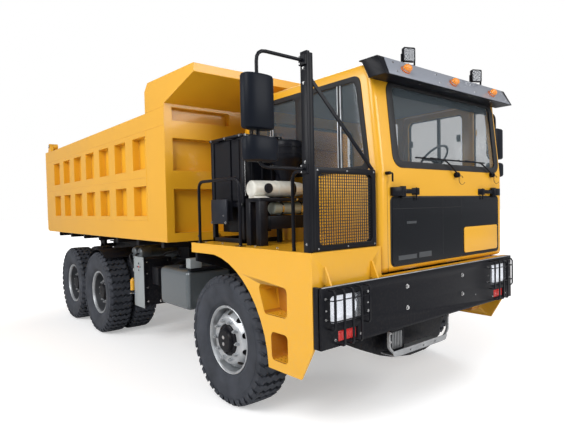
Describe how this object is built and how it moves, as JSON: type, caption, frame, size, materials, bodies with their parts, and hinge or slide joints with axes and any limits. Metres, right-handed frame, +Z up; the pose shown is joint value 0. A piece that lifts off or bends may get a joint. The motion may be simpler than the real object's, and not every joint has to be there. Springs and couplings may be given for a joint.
{
  "type": "mining dump truck",
  "caption": "Rigid off-road dump truck with an offset cab beside a railed equipment deck, a steered front axle, a twin-wheel bogie and a rear-tipping ribbed steel body on a telescopic hoist.",
  "frame": {"origin": "middle of the truck seen from above, on the ground under the tyres", "axes": "+Z up, -Y towards the front bumper, +X towards the truck's left, where the cab is"},
  "size_m": [4.51, 8.66, 3.72],
  "materials": {
    "black_paint": "satin",
    "bright_steel": "bright",
    "cab_glass": "clear",
    "cast_iron": "oiled",
    "chassis_black": "matt",
    "dark_glass": "glossy",
    "engine_grey": "painted",
    "lamp_glass": "clear",
    "light_grey": "satin",
    "rim_silver": "satin",
    "seat_fabric": "woven",
    "tyre_rubber": "matt",
    "yellow_paint": "semi-gloss"
  },
  "bodies": {
    "chassis": {"frame": "chassis_black", "front_axle": "cast_iron", "axle_mid": "cast_iron", "axle_rear": "cast_iron", "bogie_springs": "cast_iron", "engine": "engine_grey", "front_bumper": "black_paint", "front_lamps_right": "lamp_glass", "front_lamps_left": "lamp_glass", "tow_step": "light_grey", "deck_right": "yellow_paint", "fender_left": "yellow_paint", "cab_shell": "yellow_paint", "windscreen": "cab_glass", "lower_screen": "dark_glass", "right_window_front": "cab_glass", "right_window_rear": "cab_glass", "left_window_front": "cab_glass", "left_window_rear": "cab_glass", "rear_window": "cab_glass", "lamp_visor": "black_paint", "dash_and_steering": "black_paint", "driver_seat": "seat_fabric", "mesh_guard": "black_paint", "deck_rail": "black_paint", "mirrors_right": "black_paint", "mirrors_left": "black_paint", "cooler_stack": "black_paint", "silencer": "bright_steel", "air_cleaner": "black_paint", "fuel_tank": "chassis_black", "battery_box": "chassis_black", "plate_box": "light_grey", "air_tank": "chassis_black"},
    "door": {"cab_door": "yellow_paint", "door_glass": "cab_glass"},
    "bed": {"dump_body": "yellow_paint"},
    "gate": {"tailgate": "yellow_paint"},
    "hoist_barrel": {"hoist_barrel": "black_paint"},
    "hoist_sleeve_1": {"hoist_sleeve_1": "bright_steel"},
    "hoist_sleeve_2": {"hoist_sleeve_2": "bright_steel"},
    "hoist_rod": {"hoist_rod": "bright_steel"},
    "knuckle_right": {"knuckle_right": "cast_iron"},
    "wheel_front_right": {"tyre_front_right": "tyre_rubber", "rim_front_right": "rim_silver"},
    "wheel_mid_right": {"tyre_outer_mid_right": "tyre_rubber", "tyre_inner_mid_right": "tyre_rubber", "rim_twin_mid_right": "rim_silver"},
    "wheel_rear_right": {"tyre_outer_rear_right": "tyre_rubber", "tyre_inner_rear_right": "tyre_rubber", "rim_twin_rear_right": "rim_silver"},
    "knuckle_left": {"knuckle_left": "cast_iron"},
    "wheel_front_left": {"tyre_front_left": "tyre_rubber", "rim_front_left": "rim_silver"},
    "wheel_mid_left": {"tyre_outer_mid_left": "tyre_rubber", "tyre_inner_mid_left": "tyre_rubber", "rim_twin_mid_left": "rim_silver"},
    "wheel_rear_left": {"tyre_outer_rear_left": "tyre_rubber", "tyre_inner_rear_left": "tyre_rubber", "rim_twin_rear_left": "rim_silver"}
  },
  "joints": [
    {"name": "steer_right", "type": "hinge", "parent": "chassis", "child": "knuckle_right", "pos_m": [-1.28, -2.775, 0.685], "axis": [0, 0, 1], "range_deg": [-30, 30]},
    {"name": "spin_front_right", "type": "hinge", "parent": "knuckle_right", "child": "wheel_front_right", "pos_m": [-1.44, -2.775, 0.685], "axis": [1, 0, 0], "continuous": true},
    {"name": "spin_mid_right", "type": "hinge", "parent": "chassis", "child": "wheel_mid_right", "pos_m": [-1.225, 1.24, 0.685], "axis": [1, 0, 0], "continuous": true},
    {"name": "spin_rear_right", "type": "hinge", "parent": "chassis", "child": "wheel_rear_right", "pos_m": [-1.225, 2.69, 0.685], "axis": [1, 0, 0], "continuous": true},
    {"name": "steer_left", "type": "hinge", "parent": "chassis", "child": "knuckle_left", "pos_m": [1.28, -2.775, 0.685], "axis": [0, 0, 1], "range_deg": [-30, 30]},
    {"name": "spin_front_left", "type": "hinge", "parent": "knuckle_left", "child": "wheel_front_left", "pos_m": [1.44, -2.775, 0.685], "axis": [1, 0, 0], "continuous": true},
    {"name": "spin_mid_left", "type": "hinge", "parent": "chassis", "child": "wheel_mid_left", "pos_m": [1.225, 1.24, 0.685], "axis": [1, 0, 0], "continuous": true},
    {"name": "spin_rear_left", "type": "hinge", "parent": "chassis", "child": "wheel_rear_left", "pos_m": [1.225, 2.69, 0.685], "axis": [1, 0, 0], "continuous": true},
    {"name": "bed_tip", "type": "hinge", "parent": "chassis", "child": "bed", "pos_m": [0, 3.77, 1.3], "axis": [-1, 0, 0], "range_deg": [0, 45]},
    {"name": "gate_hinge", "type": "hinge", "parent": "bed", "child": "gate", "pos_m": [0, 4.044, 3.47], "axis": [1, 0, 0], "range_deg": [0, 60]},
    {"name": "door_hinge", "type": "hinge", "parent": "chassis", "child": "door", "pos_m": [1.649, -3.752, 1.5], "axis": [0, 0, -1], "range_deg": [0, 75]},
    {"name": "hoist_pivot", "type": "hinge", "parent": "chassis", "child": "hoist_barrel", "pos_m": [0, -1.66, 1.12], "axis": [-1, 0, 0], "range_deg": [0, 28.14]},
    {"name": "hoist_slide_1", "type": "slide", "parent": "hoist_barrel", "child": "hoist_sleeve_1", "axis": [0, 0, 1], "range_m": [0, 1.3472]},
    {"name": "hoist_slide_2", "type": "slide", "parent": "hoist_sleeve_1", "child": "hoist_sleeve_2", "axis": [0, 0, 1], "range_m": [0, 1.3472]},
    {"name": "hoist_slide_3", "type": "slide", "parent": "hoist_sleeve_2", "child": "hoist_rod", "axis": [0, 0, 1], "range_m": [0, 1.3472]}
  ],
  "couplings": [
    {"joint": "steer_left", "follows": "steer_right", "ratio": 1},
    {"joint": "hoist_pivot", "follows": "bed_tip", "ratio": 0.62527},
    {"joint": "hoist_slide_1", "follows": "bed_tip", "m_per_rad": 1.7152},
    {"joint": "hoist_slide_2", "follows": "bed_tip", "m_per_rad": 1.7152},
    {"joint": "hoist_slide_3", "follows": "bed_tip", "m_per_rad": 1.7152}
  ]
}
